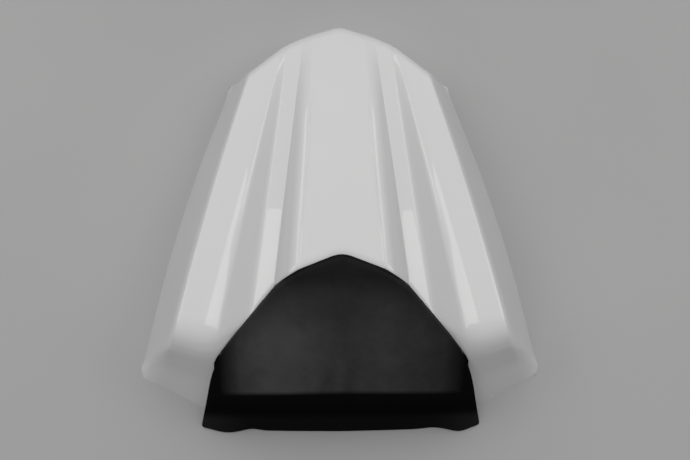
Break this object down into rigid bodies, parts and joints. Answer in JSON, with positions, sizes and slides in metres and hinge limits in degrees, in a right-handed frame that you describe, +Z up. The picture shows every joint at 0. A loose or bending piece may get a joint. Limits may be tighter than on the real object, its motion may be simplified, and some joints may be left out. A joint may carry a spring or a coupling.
{
  "type": "motorbike seat cowl",
  "caption": "White gloss seat cowl for a motorbike with a raised spine, stepped flanks, a black vinyl bump pad and a ribbed pan with striker and hook below.",
  "frame": {"origin": "on the plane of the rim, at the middle of the width and of the length", "axes": "+X to the rider's right, +Y towards the tail, +Z up from the rim"},
  "size_m": [0.3174, 0.3271, 0.1032],
  "materials": {
    "white_gloss": "painted and clear coated, high gloss",
    "black_vinyl": "fine grained vinyl, semi matte",
    "foam": "open cell foam, matte",
    "black_moulding": "moulded, lightly textured",
    "zinc_steel": "zinc plated",
    "black_screw": "black oxide",
    "damper_rubber": "matte"
  },
  "bodies": {
    "root": {"cowl_shell": "white_gloss", "pad_cover": "black_vinyl", "pad_foam": "foam", "pad_board": "black_moulding", "pad_screws": "black_screw", "pad_washers": "zinc_steel", "base_pan": "black_moulding", "pan_screws": "black_screw", "striker": "zinc_steel", "striker_plate": "zinc_steel", "striker_bolts": "zinc_steel", "striker_nuts": "zinc_steel", "hook_bracket": "zinc_steel", "hook_bolts": "zinc_steel", "hook_nuts": "zinc_steel", "damper_front_left": "damper_rubber", "damper_front_right": "damper_rubber", "damper_rear_left": "damper_rubber", "damper_rear_right": "damper_rubber"}
  },
  "joints": []
}
